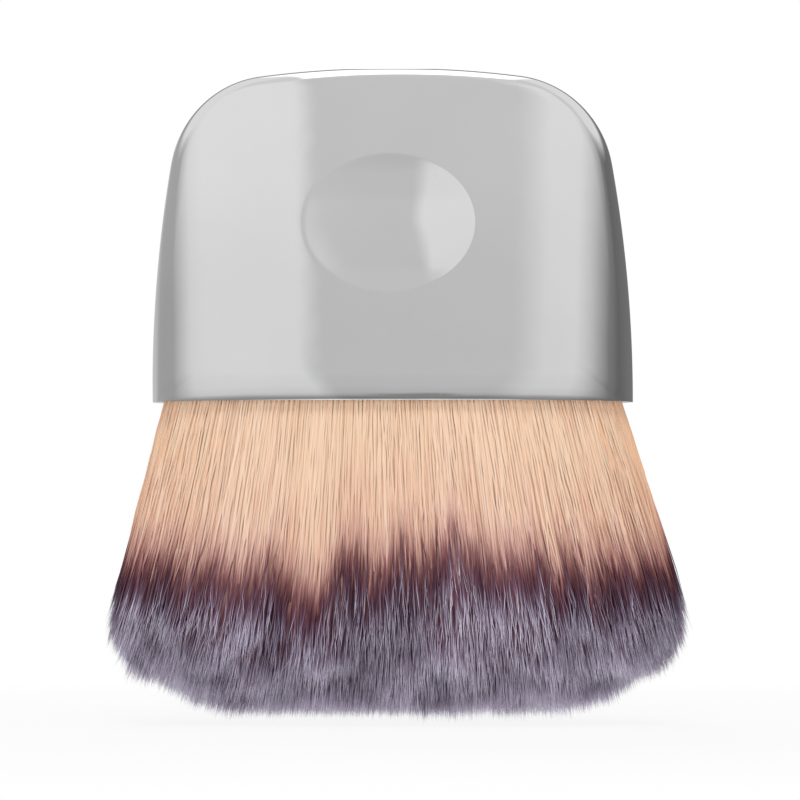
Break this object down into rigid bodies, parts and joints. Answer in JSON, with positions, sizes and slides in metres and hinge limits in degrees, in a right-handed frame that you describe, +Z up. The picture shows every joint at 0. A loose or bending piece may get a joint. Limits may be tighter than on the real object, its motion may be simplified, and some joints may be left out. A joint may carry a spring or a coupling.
{
  "type": "makeup brush",
  "caption": "Short makeup brush with a chromed slab handle, a thumb rest and a wide flared head of soft bristles, dark at the tips.",
  "frame": {"origin": "middle of the floor under the bristle tips, at the centre of the brush's plan", "axes": "+Z up from the bristle tips to the crown of the handle, -Y out of the face with the thumb rest, +X to the right seen from that face"},
  "size_m": [0.0662, 0.0354, 0.074],
  "materials": {
    "mirror_chrome": "polished",
    "bristle": "satin",
    "insert_plastic": "satin",
    "weight_steel": "satin",
    "cup_aluminium": "satin",
    "epoxy": "gloss"
  },
  "bodies": {
    "root": {"handle_shell": "mirror_chrome", "insert_frame": "insert_plastic", "balance_weight": "weight_steel", "rib_adhesive": "epoxy", "bristle_cup": "cup_aluminium", "cup_adhesive": "epoxy", "root_resin": "epoxy", "front_hank_1": "bristle", "front_hank_2": "bristle", "front_hank_3": "bristle", "front_hank_4": "bristle", "front_hank_5": "bristle", "middle_hank_1": "bristle", "middle_hank_2": "bristle", "middle_hank_3": "bristle", "middle_hank_4": "bristle", "middle_hank_5": "bristle", "back_hank_1": "bristle", "back_hank_2": "bristle", "back_hank_3": "bristle", "back_hank_4": "bristle", "back_hank_5": "bristle"}
  },
  "joints": []
}
